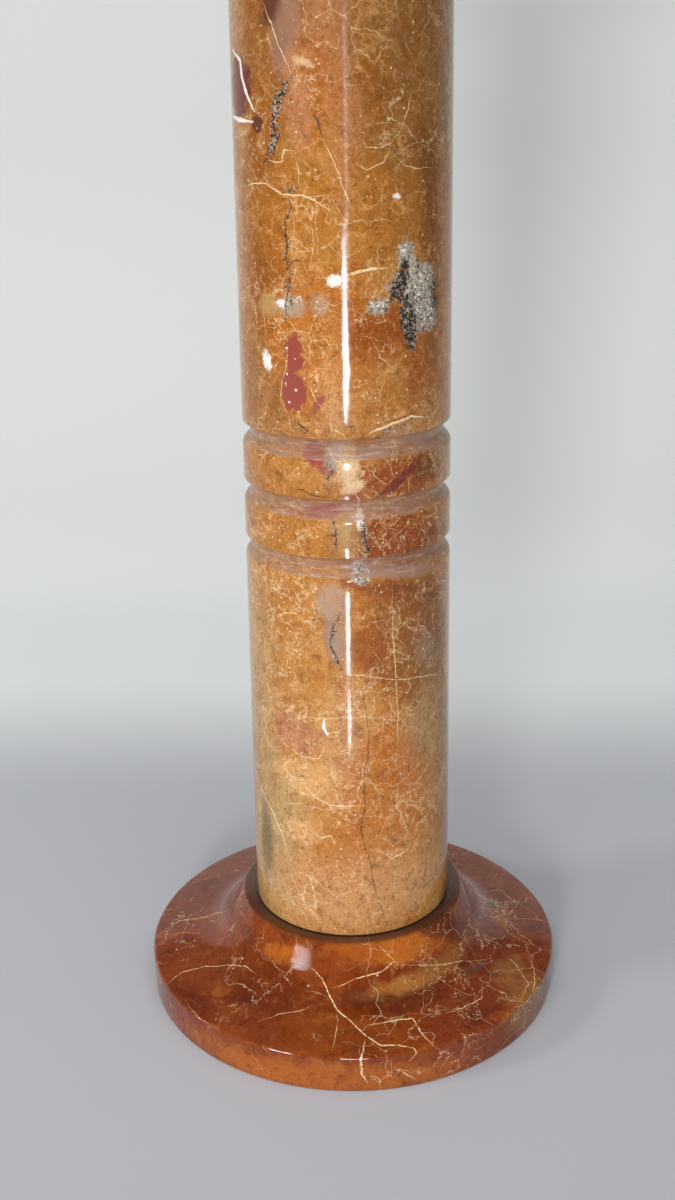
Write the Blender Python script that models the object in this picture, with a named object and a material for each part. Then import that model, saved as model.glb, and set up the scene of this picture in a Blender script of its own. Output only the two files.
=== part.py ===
"""A turned marble column on a round moulded base, with a round slab on its head.

Three solids stand loose on one another: the base, the tapering shaft with its
three turned grooves, and the top slab. Metres, +Z up, the origin in the middle
of the underside. Each solid is one profile turned round the Z axis.
"""

import math

import bpy

# Base: a flat seat, a steep slope, a hollow sweep and an upright rim
BASE_RADIUS = 0.152
BASE_HEIGHT = 0.0688
RIM_HEIGHT = 0.0275
SEAT_LEDGE = 0.0100
SEAT_ROUND = 0.0014
SLOPE_RUN = 0.0188
APRON_RISE = 0.0048
SWEEP_ROUND = 0.036
RIM_ROUND = 0.0022
FOOT_CHAMFER = 0.0012

# Shaft: slightly narrower at its head
SHAFT_LENGTH = 0.629
SHAFT_FOOT_RADIUS = 0.0719
SHAFT_HEAD_RADIUS = 0.0682
SHAFT_EDGE = 0.0009

# Grooves: each has a crisp upper edge, a hollow and a swelling lower shoulder
GROOVE_COUNT = 3
GROOVE_PITCH = 0.039
LOWEST_GROOVE = 0.2820
GROOVE_HEIGHT = 0.0160
GROOVE_DEPTH = 0.0052
GROOVE_HOLLOW = 0.0072
HOLLOW_FULLNESS = 1.7

# Top slab: a neck on the shaft's head, a hollow and an upright rim
SLAB_RADIUS = 0.130
SLAB_HEIGHT = 0.042
SLAB_RIM_HEIGHT = 0.022
NECK_LEDGE = 0.0100
NECK_HEIGHT = 0.006
NECK_HOLLOW = 0.012
SLAB_ROUND = 0.003

# Turning and joints
SEGMENTS = 64
JOINT_GAP = 0.0003
MERGE_DISTANCE = 0.00001
SMOOTH_ANGLE = math.radians(32)
MAX_FILLET_SHARE = 0.48
HOLLOW_STEPS = 4
SHOULDER_STEPS = 6

SHAFT_FOOT = BASE_HEIGHT + JOINT_GAP
SHAFT_HEAD = SHAFT_FOOT + SHAFT_LENGTH
SLAB_FOOT = SHAFT_HEAD + JOINT_GAP
SLAB_TOP = SLAB_FOOT + SLAB_HEIGHT


def clear_scene():
    """Start from nothing, without closing the file."""
    for item in list(bpy.data.objects):
        bpy.data.objects.remove(item, do_unlink=True)


def marble(name, colour, roughness):
    """One polished stone, as a plain surface of its middle colour."""
    material = bpy.data.materials.new(name)
    material.use_nodes = True
    shader = material.node_tree.nodes["Principled BSDF"]
    shader.inputs["Base Color"].default_value = (*colour, 1.0)
    shader.inputs["Roughness"].default_value = roughness
    shader.inputs["Metallic"].default_value = 0.0
    return material


def unit(start, end):
    """Direction and distance from one profile point to another."""
    across = end[0] - start[0]
    up = end[1] - start[1]
    length = math.hypot(across, up)
    return (across / length, up / length), length


def fillet(before, corner, after, radius, steps):
    """Round one corner of a profile; the arc never takes half of a straight."""
    back, back_length = unit(corner, before)
    ahead, ahead_length = unit(corner, after)
    opening = math.acos(max(-1.0, min(1.0, back[0] * ahead[0] + back[1] * ahead[1])))
    room = MAX_FILLET_SHARE * min(back_length, ahead_length)
    tangent = min(radius / math.tan(opening / 2), room)
    radius = tangent * math.tan(opening / 2)
    middle, _ = unit((0.0, 0.0), (back[0] + ahead[0], back[1] + ahead[1]))
    reach = radius / math.sin(opening / 2)
    centre = (corner[0] + middle[0] * reach, corner[1] + middle[1] * reach)
    start = (corner[0] + back[0] * tangent, corner[1] + back[1] * tangent)
    first = math.atan2(start[1] - centre[1], start[0] - centre[0])
    crossing = ahead[0] * back[1] - ahead[1] * back[0]
    sweep = math.copysign(math.pi - opening, crossing)
    points = []
    for step in range(steps + 1):
        angle = first + sweep * step / steps
        points.append((centre[0] + radius * math.cos(angle), centre[1] + radius * math.sin(angle)))
    return points


def rounded(corners):
    """Turn (radius, height, rounding, steps) corners into profile points."""
    points = []
    for index, (across, height, radius, steps) in enumerate(corners):
        if steps == 0:
            points.append((across, height))
            continue
        before = corners[index - 1][:2]
        after = corners[index + 1][:2]
        points += fillet(before, (across, height), after, radius, steps)
    return points


def turned(name, profile, material):
    """Turn a profile, listed from its top on the axis to its foot on the axis."""
    mesh = bpy.data.meshes.new(name)
    edges = [(index, index + 1) for index in range(len(profile) - 1)]
    mesh.from_pydata([(across, 0.0, height) for across, height in profile], edges, [])
    mesh.materials.append(material)
    piece = bpy.data.objects.new(name, mesh)
    bpy.context.scene.collection.objects.link(piece)

    lathe = piece.modifiers.new("Turned", "SCREW")
    lathe.axis = "Z"
    lathe.angle = 2 * math.pi
    lathe.steps = SEGMENTS
    lathe.render_steps = SEGMENTS
    lathe.use_merge_vertices = True
    lathe.merge_threshold = MERGE_DISTANCE

    bpy.context.view_layer.update()
    evaluated = piece.evaluated_get(bpy.context.evaluated_depsgraph_get())
    finished = bpy.data.meshes.new_from_object(evaluated)
    piece.modifiers.clear()
    piece.data = finished
    bpy.data.meshes.remove(mesh)
    finished.name = name
    finished.shade_smooth()
    finished.set_sharp_from_angle(angle=SMOOTH_ANGLE)
    return piece


def shaft_radius(height):
    """Radius of the shaft's plain surface at a height."""
    share = (height - SHAFT_FOOT) / SHAFT_LENGTH
    return SHAFT_FOOT_RADIUS + (SHAFT_HEAD_RADIUS - SHAFT_FOOT_RADIUS) * share


def groove_depth(drop):
    """Depth of a groove at a drop below its upper edge."""
    if drop < GROOVE_HOLLOW:
        away = 1 - drop / GROOVE_HOLLOW
        return GROOVE_DEPTH * (1 - away ** HOLLOW_FULLNESS) ** (1 / HOLLOW_FULLNESS)
    along = (drop - GROOVE_HOLLOW) / (GROOVE_HEIGHT - GROOVE_HOLLOW)
    return GROOVE_DEPTH * (1 + math.cos(math.pi * along)) / 2


def groove(upper_edge):
    """Profile points of one groove, from its upper edge to its lower shoulder."""
    drops = []
    for step in range(HOLLOW_STEPS):
        quarter = math.pi / 2 * step / HOLLOW_STEPS
        drops.append(GROOVE_HOLLOW * (1 - math.cos(quarter)))
    for step in range(SHOULDER_STEPS + 1):
        drops.append(GROOVE_HOLLOW + (GROOVE_HEIGHT - GROOVE_HOLLOW) * step / SHOULDER_STEPS)
    points = []
    for drop in drops:
        height = upper_edge - drop
        points.append((shaft_radius(height) - groove_depth(drop), height))
    return points


def base_profile():
    """The base, from the middle of its seat down to the middle of its underside."""
    seat_radius = SHAFT_FOOT_RADIUS + SEAT_LEDGE
    knee = (seat_radius + SLOPE_RUN, RIM_HEIGHT + APRON_RISE)
    return rounded([
        (0.0, BASE_HEIGHT, 0, 0),
        (seat_radius, BASE_HEIGHT, SEAT_ROUND, 2),
        (*knee, SWEEP_ROUND, 8),
        (BASE_RADIUS, RIM_HEIGHT, RIM_ROUND, 3),
        (BASE_RADIUS, FOOT_CHAMFER, 0, 0),
        (BASE_RADIUS - FOOT_CHAMFER, 0.0, 0, 0),
        (0.0, 0.0, 0, 0),
    ])


def shaft_profile():
    """The shaft, from its head to its foot, with its grooves."""
    points = [
        (0.0, SHAFT_HEAD),
        (SHAFT_HEAD_RADIUS - SHAFT_EDGE, SHAFT_HEAD),
        (shaft_radius(SHAFT_HEAD - SHAFT_EDGE), SHAFT_HEAD - SHAFT_EDGE),
    ]
    for count in reversed(range(GROOVE_COUNT)):
        points += groove(SHAFT_FOOT + LOWEST_GROOVE + GROOVE_PITCH * count)
    points += [
        (shaft_radius(SHAFT_FOOT + SHAFT_EDGE), SHAFT_FOOT + SHAFT_EDGE),
        (SHAFT_FOOT_RADIUS - SHAFT_EDGE, SHAFT_FOOT),
        (0.0, SHAFT_FOOT),
    ]
    return points


def slab_profile():
    """The top slab, from the middle of its top down to the middle of its neck."""
    neck_radius = SHAFT_HEAD_RADIUS + NECK_LEDGE
    rim_foot = SLAB_TOP - SLAB_RIM_HEIGHT
    return rounded([
        (0.0, SLAB_TOP, 0, 0),
        (SLAB_RADIUS, SLAB_TOP, SLAB_ROUND, 2),
        (SLAB_RADIUS, rim_foot, SLAB_ROUND, 2),
        (neck_radius, SLAB_FOOT + NECK_HEIGHT, NECK_HOLLOW, 3),
        (neck_radius, SLAB_FOOT, 0, 0),
        (0.0, SLAB_FOOT, 0, 0),
    ])


def build():
    """Make the three solids, each in its place."""
    clear_scene()
    honey = marble("honey_marble", (0.491, 0.227, 0.080), 0.18)
    russet = marble("russet_marble", (0.258, 0.070, 0.022), 0.14)
    turned("base", base_profile(), russet)
    turned("shaft", shaft_profile(), honey)
    turned("top_slab", slab_profile(), russet)


build()
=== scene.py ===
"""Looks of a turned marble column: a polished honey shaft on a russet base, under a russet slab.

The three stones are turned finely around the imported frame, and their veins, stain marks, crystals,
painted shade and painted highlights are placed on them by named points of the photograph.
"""

import math

import bpy
from mathutils import Matrix, Vector


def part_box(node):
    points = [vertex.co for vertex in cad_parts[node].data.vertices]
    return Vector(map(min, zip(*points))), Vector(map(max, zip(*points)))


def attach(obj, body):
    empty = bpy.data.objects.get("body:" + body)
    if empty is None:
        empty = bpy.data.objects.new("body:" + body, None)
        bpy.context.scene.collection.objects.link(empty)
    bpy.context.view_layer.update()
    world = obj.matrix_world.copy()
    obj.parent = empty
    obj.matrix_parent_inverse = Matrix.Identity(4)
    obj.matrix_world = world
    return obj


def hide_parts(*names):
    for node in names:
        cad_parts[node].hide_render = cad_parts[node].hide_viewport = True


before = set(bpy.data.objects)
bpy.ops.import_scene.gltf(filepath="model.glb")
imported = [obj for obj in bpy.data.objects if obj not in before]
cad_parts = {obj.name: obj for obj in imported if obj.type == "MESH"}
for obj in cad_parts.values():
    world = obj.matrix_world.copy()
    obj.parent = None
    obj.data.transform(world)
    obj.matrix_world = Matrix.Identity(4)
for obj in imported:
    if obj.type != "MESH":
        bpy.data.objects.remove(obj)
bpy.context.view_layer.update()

# Photograph: its size in pixels, and the camera that took it
PHOTO_WIDTH = 675
PHOTO_HEIGHT = 1200
FOCAL_PIXELS = 1389.25
EYE = Vector((0.0, -0.9141, 0.6366))
YAW = -0.0086
PITCH = 0.3557
ROLL = -0.0156
SENSOR_MM = 36.0
NEAREST = 0.01

# Sizes of the turned stones: those of the solids that they stand for
SHAFT_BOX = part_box("shaft")
BASE_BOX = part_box("base")
SLAB_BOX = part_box("top_slab")
SHAFT_FOOT = SHAFT_BOX[0][2]
SHAFT_HEAD = SHAFT_BOX[1][2]
FOOT_RADIUS = SHAFT_BOX[1][0]
HEAD_RADIUS = 0.0682
SHAFT_EDGE = 0.0009
GROOVE_COUNT = 3
GROOVE_PITCH = 0.039
LOWEST_GROOVE = 0.2820
GROOVE_HEIGHT = 0.0160
GROOVE_DEPTH = 0.0052
GROOVE_HOLLOW = 0.0072
HOLLOW_FULLNESS = 1.7
ARRIS_ROUND = 0.0005
ARRIS_SHARES = (1.0, 0.35)
ARRIS_FALL = 0.25
BASE_RADIUS = BASE_BOX[1][0]
BASE_HEIGHT = BASE_BOX[1][2]
RIM_HEIGHT = 0.0275
SEAT_RADIUS = FOOT_RADIUS + 0.0100
SEAT_ROUND = 0.0014
SLOPE_RUN = 0.0188
APRON_RISE = 0.0048
SWEEP_ROUND = 0.036
RIM_ROUND = 0.0022
BASE_CHAMFER = 0.0012
SLAB_RADIUS = SLAB_BOX[1][0]
SLAB_FOOT = SLAB_BOX[0][2]
SLAB_TOP = SLAB_BOX[1][2]
SLAB_RIM_HEIGHT = 0.022
NECK_RADIUS = HEAD_RADIUS + 0.0100
NECK_HEIGHT = 0.006
NECK_HOLLOW = 0.012
SLAB_ROUND = 0.003
NECK_EASE = 0.001

# How finely they are drawn: steps round each round and hollow, and metres along the straights
SEGMENTS = 256
HOLLOW_STEPS = 9
SHOULDER_STEPS = 13
EDGE_STEPS = 4
SEAT_STEPS = 6
SWEEP_STEPS = 24
RIM_STEPS = 8
RIM_FOOT_STEPS = 6
NECK_STEPS = 10
NECK_EASE_STEPS = 3
PLAIN_STEP = 0.010
END_STRETCH = 0.020
SEED_SIZE = 0.001
MERGE_DISTANCE = 0.00001
SMOOTH_ANGLE = math.radians(40)

# Stone colours, as they show on a screen
COLOURS = {
    "honey": (196, 140, 74),
    "ochre": (180, 114, 38),
    "orange": (184, 102, 22),
    "umber": (108, 60, 16),
    "rust": (142, 64, 14),
    "peach": (226, 174, 110),
    "tan": (188, 152, 98),
    "rose": (184, 122, 84),
    "mauve": (158, 124, 108),
    "red": (150, 72, 58),
    "maroon": (112, 44, 30),
    "grey": (172, 160, 142),
    "black": (44, 38, 34),
    "cream": (244, 216, 168),
    "white": (250, 242, 230),
    "olive": (96, 82, 40),
    "russet": (136, 62, 20),
    "brick": (122, 48, 10),
    "deep": (80, 28, 6),
    "plum": (104, 58, 42),
    "amber": (188, 104, 30),
    "sand": (168, 124, 66),
    "dirt_and_shade": (64, 42, 32),
    "brown": (146, 88, 34),
}


def linear(name):
    """A named colour, as light."""
    shades = []
    for level in COLOURS[name]:
        share = level / 255
        shades.append(share / 12.92 if share <= 0.04045 else ((share + 0.055) / 1.055) ** 2.4)
    return (*shades, 1.0)


def camera_axes():
    """Right, up and forward of the photograph's camera."""
    level = Vector((math.sin(YAW), math.cos(YAW), 0.0))
    forward = level * math.cos(PITCH) - Vector((0.0, 0.0, math.sin(PITCH)))
    right = forward.cross(Vector((0.0, 0.0, 1.0))).normalized()
    up = right.cross(forward)
    turned_right = right * math.cos(ROLL) + up * math.sin(ROLL)
    turned_up = up * math.cos(ROLL) - right * math.sin(ROLL)
    return turned_right, turned_up, forward


def touch_face(pixel, node):
    """The place on a solid that a pixel of the photograph shows, and the way it faces."""
    right, up, forward = camera_axes()
    across = pixel[0] - PHOTO_WIDTH / 2
    down = pixel[1] - PHOTO_HEIGHT / 2
    ray = (forward * FOCAL_PIXELS + right * across - up * down).normalized()
    hit, place, normal, _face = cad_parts[node].ray_cast(EYE, ray)
    if not hit:
        raise ValueError(f"pixel {pixel} does not show the {node}")
    return place, normal


def touch(pixel, node):
    """The place on a solid that a pixel of the photograph shows."""
    return touch_face(pixel, node)[0]


# Profiles


def unit(start, end):
    """Direction and distance from one profile point to another."""
    across = end[0] - start[0]
    up = end[1] - start[1]
    length = math.hypot(across, up)
    return (across / length, up / length), length


def fillet(before, corner, after, radius, steps):
    """Round one corner of a profile."""
    back, _ = unit(corner, before)
    ahead, _ = unit(corner, after)
    opening = math.acos(max(-1.0, min(1.0, back[0] * ahead[0] + back[1] * ahead[1])))
    tangent = radius / math.tan(opening / 2)
    middle, _ = unit((0.0, 0.0), (back[0] + ahead[0], back[1] + ahead[1]))
    reach = radius / math.sin(opening / 2)
    centre = (corner[0] + middle[0] * reach, corner[1] + middle[1] * reach)
    start = (corner[0] + back[0] * tangent, corner[1] + back[1] * tangent)
    first = math.atan2(start[1] - centre[1], start[0] - centre[0])
    crossing = ahead[0] * back[1] - ahead[1] * back[0]
    sweep = math.copysign(math.pi - opening, crossing)
    points = []
    for step in range(steps + 1):
        angle = first + sweep * step / steps
        points.append((centre[0] + radius * math.cos(angle), centre[1] + radius * math.sin(angle)))
    return points


def rounded(corners):
    """Turn (radius, height, rounding, steps) corners into profile points."""
    points = []
    for index, (across, height, radius, steps) in enumerate(corners):
        if steps == 0:
            points.append((across, height))
            continue
        before = corners[index - 1][:2]
        after = corners[index + 1][:2]
        points += fillet(before, (across, height), after, radius, steps)
    return points


def shaft_radius(height):
    """Radius of the shaft's plain surface at a height."""
    share = (height - SHAFT_FOOT) / (SHAFT_HEAD - SHAFT_FOOT)
    return FOOT_RADIUS + (HEAD_RADIUS - FOOT_RADIUS) * share


def groove_depth(drop):
    """Depth of a groove at a drop below its upper edge."""
    if drop < GROOVE_HOLLOW:
        away = 1 - drop / GROOVE_HOLLOW
        return GROOVE_DEPTH * (1 - away ** HOLLOW_FULLNESS) ** (1 / HOLLOW_FULLNESS)
    along = min(1.0, (drop - GROOVE_HOLLOW) / (GROOVE_HEIGHT - GROOVE_HOLLOW))
    return GROOVE_DEPTH * (1 + math.cos(math.pi * along)) / 2


def groove(upper_edge):
    """One groove from its eased upper edge to its swelling lower shoulder."""
    points = []
    for share in ARRIS_SHARES:
        height = upper_edge + ARRIS_ROUND * share
        points.append((shaft_radius(height) - ARRIS_ROUND * (1 - share) * ARRIS_FALL, height))
    drops = []
    for step in range(1, HOLLOW_STEPS):
        drops.append(GROOVE_HOLLOW * (1 - math.cos(math.pi / 2 * step / HOLLOW_STEPS)))
    for step in range(SHOULDER_STEPS + 1):
        drops.append(GROOVE_HOLLOW + (GROOVE_HEIGHT - GROOVE_HOLLOW) * step / SHOULDER_STEPS)
    for drop in drops:
        height = upper_edge - drop
        points.append((shaft_radius(height) - groove_depth(drop), height))
    return points


def filled_in(points, step):
    """Add points along the long straights of a profile."""
    finer = [points[0]]
    for start, end in zip(points, points[1:]):
        count = max(1, math.ceil(math.dist(start, end) / step))
        for index in range(1, count + 1):
            share = index / count
            across = start[0] + (end[0] - start[0]) * share
            finer.append((across, start[1] + (end[1] - start[1]) * share))
    return finer


def shaft_profile():
    """The shaft from its head to its foot."""
    head = rounded([
        (0.0, SHAFT_HEAD, 0, 0),
        (HEAD_RADIUS, SHAFT_HEAD, SHAFT_EDGE, EDGE_STEPS),
        (shaft_radius(SHAFT_HEAD - END_STRETCH), SHAFT_HEAD - END_STRETCH, 0, 0),
    ])
    points = head[:-1]
    for count in reversed(range(GROOVE_COUNT)):
        points += groove(SHAFT_FOOT + LOWEST_GROOVE + GROOVE_PITCH * count)
    foot = rounded([
        (shaft_radius(SHAFT_FOOT + END_STRETCH), SHAFT_FOOT + END_STRETCH, 0, 0),
        (FOOT_RADIUS, SHAFT_FOOT, SHAFT_EDGE, EDGE_STEPS),
        (0.0, SHAFT_FOOT, 0, 0),
    ])
    return points + foot


def base_profile():
    """The base from the middle of its seat to the middle of its underside."""
    return rounded([
        (0.0, BASE_HEIGHT, 0, 0),
        (SEAT_RADIUS, BASE_HEIGHT, SEAT_ROUND, SEAT_STEPS),
        (SEAT_RADIUS + SLOPE_RUN, RIM_HEIGHT + APRON_RISE, SWEEP_ROUND, SWEEP_STEPS),
        (BASE_RADIUS, RIM_HEIGHT, RIM_ROUND, RIM_STEPS),
        (BASE_RADIUS, 0.0, BASE_CHAMFER, EDGE_STEPS),
        (0.0, 0.0, 0, 0),
    ])


def slab_profile():
    """The slab from the middle of its top to the middle of its neck."""
    rim_foot = SLAB_TOP - SLAB_RIM_HEIGHT
    return rounded([
        (0.0, SLAB_TOP, 0, 0),
        (SLAB_RADIUS, SLAB_TOP, SLAB_ROUND, RIM_STEPS),
        (SLAB_RADIUS, rim_foot, SLAB_ROUND, RIM_FOOT_STEPS),
        (NECK_RADIUS, SLAB_FOOT + NECK_HEIGHT, NECK_HOLLOW, NECK_STEPS),
        (NECK_RADIUS, SLAB_FOOT, NECK_EASE, NECK_EASE_STEPS),
        (0.0, SLAB_FOOT, 0, 0),
    ])


# Turning


def select_none():
    """Leave nothing selected."""
    bpy.ops.object.select_all(action="DESELECT")


def turn(name, profile):
    """Draw a profile point by point, spin it round the axis and close its poles."""
    select_none()
    bpy.ops.mesh.primitive_plane_add(size=SEED_SIZE, location=(profile[0][0], 0.0, profile[0][1]))
    piece = bpy.context.object
    piece.name = name
    bpy.ops.object.mode_set(mode="EDIT")
    bpy.ops.mesh.select_mode(type="VERT")
    bpy.ops.mesh.select_all(action="SELECT")
    bpy.ops.mesh.merge(type="CENTER")
    for start, end in zip(profile, profile[1:]):
        step = (end[0] - start[0], 0.0, end[1] - start[1])
        bpy.ops.mesh.extrude_region_move(TRANSFORM_OT_translate={"value": step})
    bpy.ops.mesh.select_all(action="SELECT")
    bpy.ops.mesh.spin(steps=SEGMENTS, angle=math.tau, center=(0.0, 0.0, 0.0), axis=(0.0, 0.0, 1.0))
    bpy.ops.mesh.select_all(action="SELECT")
    bpy.ops.mesh.remove_doubles(threshold=MERGE_DISTANCE)
    bpy.ops.mesh.normals_make_consistent(inside=False)
    bpy.ops.object.mode_set(mode="OBJECT")
    bpy.ops.object.transform_apply(location=True, rotation=True, scale=True)
    bpy.ops.object.shade_smooth_by_angle(angle=SMOOTH_ANGLE)
    return piece


# Material nodes


# The sockets of a node that mixes two colours
MIX_SHARE = 0
MIX_FIRST = 6
MIX_SECOND = 7
MIX_RESULT = 2


class Layout:
    """Lays out nodes, each call returning an output to build on."""

    def add(self, kind, **settings):
        """A node with its settings, its inputs given by name or number in "plug"."""
        plug = settings.pop("plug", {})
        node = self.tree.nodes.new(kind)
        for key, value in settings.items():
            setattr(node, key, value)
        for key, value in plug.items():
            if value is None:
                continue
            if isinstance(value, bpy.types.NodeSocket):
                self.tree.links.new(value, node.inputs[key])
            else:
                node.inputs[key].default_value = value
        return node

    def math(self, operation, first, second=None, third=None):
        """One sum."""
        plug = {0: first, 1: second, 2: third}
        return self.add("ShaderNodeMath", operation=operation, plug=plug).outputs[0]

    def times(self, first, second):
        """One value times another."""
        return self.math("MULTIPLY", first, second)

    def swing(self, value, amount):
        """A value around a half, turned into one around nothing and made so many times as strong."""
        return self.math("MULTIPLY_ADD", value, amount, -amount / 2)

    def vector(self, operation, first, second=None, third=None):
        """One sum of vectors."""
        plug = {0: first, 1: second, 2: third}
        return self.add("ShaderNodeVectorMath", operation=operation, plug=plug)

    def between(self, value, low, high, start=0.0, end=1.0):
        """A value's way from low to high, eased into a way from start to end."""
        plug = {"Value": value, "From Min": low, "From Max": high, "To Min": start, "To Max": end}
        node = self.add("ShaderNodeMapRange", interpolation_type="SMOOTHSTEP", clamp=False, plug=plug)
        return node.outputs["Result"]

    def scaled(self, value, low, high, start, end):
        """A value stretched so that low becomes start and high becomes end."""
        factor = (end - start) / (high - low)
        return self.math("MULTIPLY_ADD", value, factor, start - low * factor)

    def noise(self, place, scale, detail=4.0, roughness=0.55, distortion=0.0, colour=False):
        """A cloudy pattern, its scale in repeats per metre."""
        plug = {"Vector": place, "Scale": scale, "Detail": detail, "Roughness": roughness,
                "Distortion": distortion}
        node = self.add("ShaderNodeTexNoise", plug=plug)
        return node.outputs["Color" if colour else "Fac"]

    def cells(self, place, scale, feature="DISTANCE_TO_EDGE"):
        """A broken pattern of cells, their scale in repeats per metre."""
        return self.add("ShaderNodeTexVoronoi", feature=feature, plug={"Vector": place, "Scale": scale})

    def mix(self, share, first, second):
        """Lay one colour on another."""
        node = self.add("ShaderNodeMix", data_type="RGBA")
        for index, value in ((MIX_SHARE, share), (MIX_FIRST, first), (MIX_SECOND, second)):
            if isinstance(value, bpy.types.NodeSocket):
                self.tree.links.new(value, node.inputs[index])
            else:
                node.inputs[index].default_value = value
        return node.outputs[MIX_RESULT]

    def coat(self, ground, name, mask, strength=None):
        """Lay a named colour on a ground where a mask says, as strongly as it is told."""
        if strength is not None:
            mask = self.times(mask, strength)
        return self.mix(mask, ground, linear(name))

    def tint(self, ground, name, pattern, low, high, strength):
        """Lay a named colour on a ground where a pattern goes from low to high."""
        return self.coat(ground, name, self.between(pattern, low, high, 0.0, strength))

    def shaken(self, place, scale, amount):
        """A place pushed about by a cloudy pattern, by up to half the amount."""
        push = self.noise(place, scale, 3.0, 0.6, colour=True)
        centred = self.vector("SUBTRACT", push, (0.5, 0.5, 0.5)).outputs[0]
        return self.vector("MULTIPLY_ADD", centred, (amount, amount, amount), place).outputs[0]

    def curve(self, value, points):
        """A line of straight stretches through points, both ways from 0 to 1."""
        node = self.add("ShaderNodeFloatCurve", plug={"Value": value})
        line = node.mapping.curves[0]
        while len(line.points) < len(points):
            line.points.new(0.5, 0.5)
        for point, (across, up) in zip(line.points, points):
            point.location = (across, up)
            point.handle_type = "VECTOR"
        node.mapping.update()
        return node.outputs["Value"]

    def blot(self, flat, centre, radii, turn_degrees, soft):
        """A soft-edged oval on the surface, 1 in its middle."""
        turn_angle = math.radians(turn_degrees)
        squares = []
        for radius, angle in zip(radii, (turn_angle, turn_angle + math.pi / 2)):
            share = (math.cos(angle) / radius, math.sin(angle) / radius)
            start = -centre[0] * share[0] - centre[1] * share[1]
            way = self.math("MULTIPLY_ADD", flat[0], share[0], start)
            way = self.math("MULTIPLY_ADD", flat[1], share[1], way)
            squares.append(way)
        reach = self.math("MULTIPLY_ADD", squares[0], squares[0], flat[2])
        reach = self.math("MULTIPLY_ADD", squares[1], squares[1], reach)
        return self.between(reach, (1.0 + soft) ** 2, (1.0 - soft) ** 2)


class Group(Layout):
    """Nodes kept together in a group, which works from two coordinates."""

    def __init__(self, name, result="NodeSocketFloat"):
        self.tree = bpy.data.node_groups.new(name, "ShaderNodeTree")
        for way in ("Across", "Up", "Raggedness"):
            self.tree.interface.new_socket(way, in_out="INPUT", socket_type="NodeSocketFloat")
        if result == "NodeSocketColor":
            self.tree.interface.new_socket("Ground", in_out="INPUT", socket_type=result)
        self.tree.interface.new_socket("Result", in_out="OUTPUT", socket_type=result)
        self.inputs = self.tree.nodes.new("NodeGroupInput").outputs

    def finish(self, stone, flat, value, ground=None):
        """Close the group on a value, and use it in a stone."""
        self.tree.links.new(value, self.tree.nodes.new("NodeGroupOutput").inputs[0])
        plug = {0: flat[0], 1: flat[1], 2: flat[2]}
        if ground is not None:
            plug[3] = ground
        return stone.add("ShaderNodeGroup", node_tree=self.tree, plug=plug).outputs[0]


class Stone(Layout):
    """The nodes of one stone, which start from the place of each of its points."""

    def __init__(self, name):
        self.material = bpy.data.materials.new(name)
        self.material.use_nodes = True
        self.tree = self.material.node_tree
        self.shader = self.tree.nodes["Principled BSDF"]
        self.solid = self.add("ShaderNodeTexCoord").outputs["Object"]
        self.axes = self.add("ShaderNodeSeparateXYZ", plug={0: self.solid}).outputs

    def polished(self, ground, gloss, relief):
        """The stone with its colours, its dullness and a slight relief in its polish."""
        self.tree.links.new(ground, self.shader.inputs["Base Color"])
        self.tree.links.new(gloss, self.shader.inputs["Roughness"])
        plug = {"Strength": RELIEF, "Distance": RELIEF_DEPTH, "Height": relief}
        bump = self.add("ShaderNodeBump", plug=plug)
        self.tree.links.new(bump.outputs[0], self.shader.inputs["Normal"])
        self.shader.inputs["IOR"].default_value = STONE_IOR
        return self.material


# Polish: the strength of its relief and its depth in metres, and the stone's index of refraction
RELIEF = 0.12
RELIEF_DEPTH = 0.0003
STONE_IOR = 1.5

# Veins: the share left free at a curve's ends, its least spread in metres, and how the ends taper
END_MARGIN = 0.03
LEAST_SPREAD = 0.004
END_STRENGTH = 0.45
SWELLING = 3.0
VEINS_IN_GROUP = 10

# Pixels on each side of a stain's middle between which its reach is measured
PROBE = 2


def stretches(points):
    """Cut a vein into stretches that run mostly one way, with the share of its length at each point."""
    lengths = [0.0]
    for start, end in zip(points, points[1:]):
        lengths.append(lengths[-1] + math.dist(start, end))
    marks = [(point, length / lengths[-1]) for point, length in zip(points, lengths)]
    runs = []
    for first, second in zip(marks, marks[1:]):
        step = [second[0][axis] - first[0][axis] for axis in (0, 1)]
        axis = 0 if abs(step[0]) > abs(step[1]) else 1
        way = (axis, step[axis] > 0)
        if runs and runs[-1][0] == way:
            runs[-1][1].append(second)
        else:
            runs.append((way, [first, second]))
    return runs


def vein_height(share, strength):
    """How strong a vein is along its length: thinner towards its ends."""
    return strength * min(1.0, END_STRENGTH + SWELLING * share, END_STRENGTH + SWELLING * (1.0 - share))


def draw_vein(stone, flat, points, width, strength):
    """The strongest of a vein's stretches: 1 on its middle line and 0 or less beside it."""
    strongest = None
    for (axis, forward), marks in stretches(points):
        if not forward:
            marks = marks[::-1]
        along = [point[axis] for point, _ in marks]
        beside = [point[1 - axis] for point, _ in marks]
        low, high = min(beside), max(beside)
        spread = max(high - low, LEAST_SPREAD)
        where = stone.scaled(flat[axis], along[0], along[-1], END_MARGIN, 1 - END_MARGIN)
        off = stone.scaled(flat[1 - axis], low, low + spread, 0.0, 1.0)
        line = []
        thickness = [(0.0, 0.0)]
        for (point, share), step in zip(marks, along):
            position = END_MARGIN + (1 - 2 * END_MARGIN) * (step - along[0]) / (along[-1] - along[0])
            line.append((position, (point[1 - axis] - low) / spread))
            thickness.append((position, vein_height(share, strength)))
        thickness.append((1.0, 0.0))
        middle = stone.curve(where, line)
        height = stone.curve(where, thickness)
        apart = stone.math("ABSOLUTE", stone.math("SUBTRACT", off, middle))
        value = stone.math("MULTIPLY_ADD", apart, -spread / (width / 2), height)
        strongest = value if strongest is None else stone.math("MAXIMUM", strongest, value)
    return strongest


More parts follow.
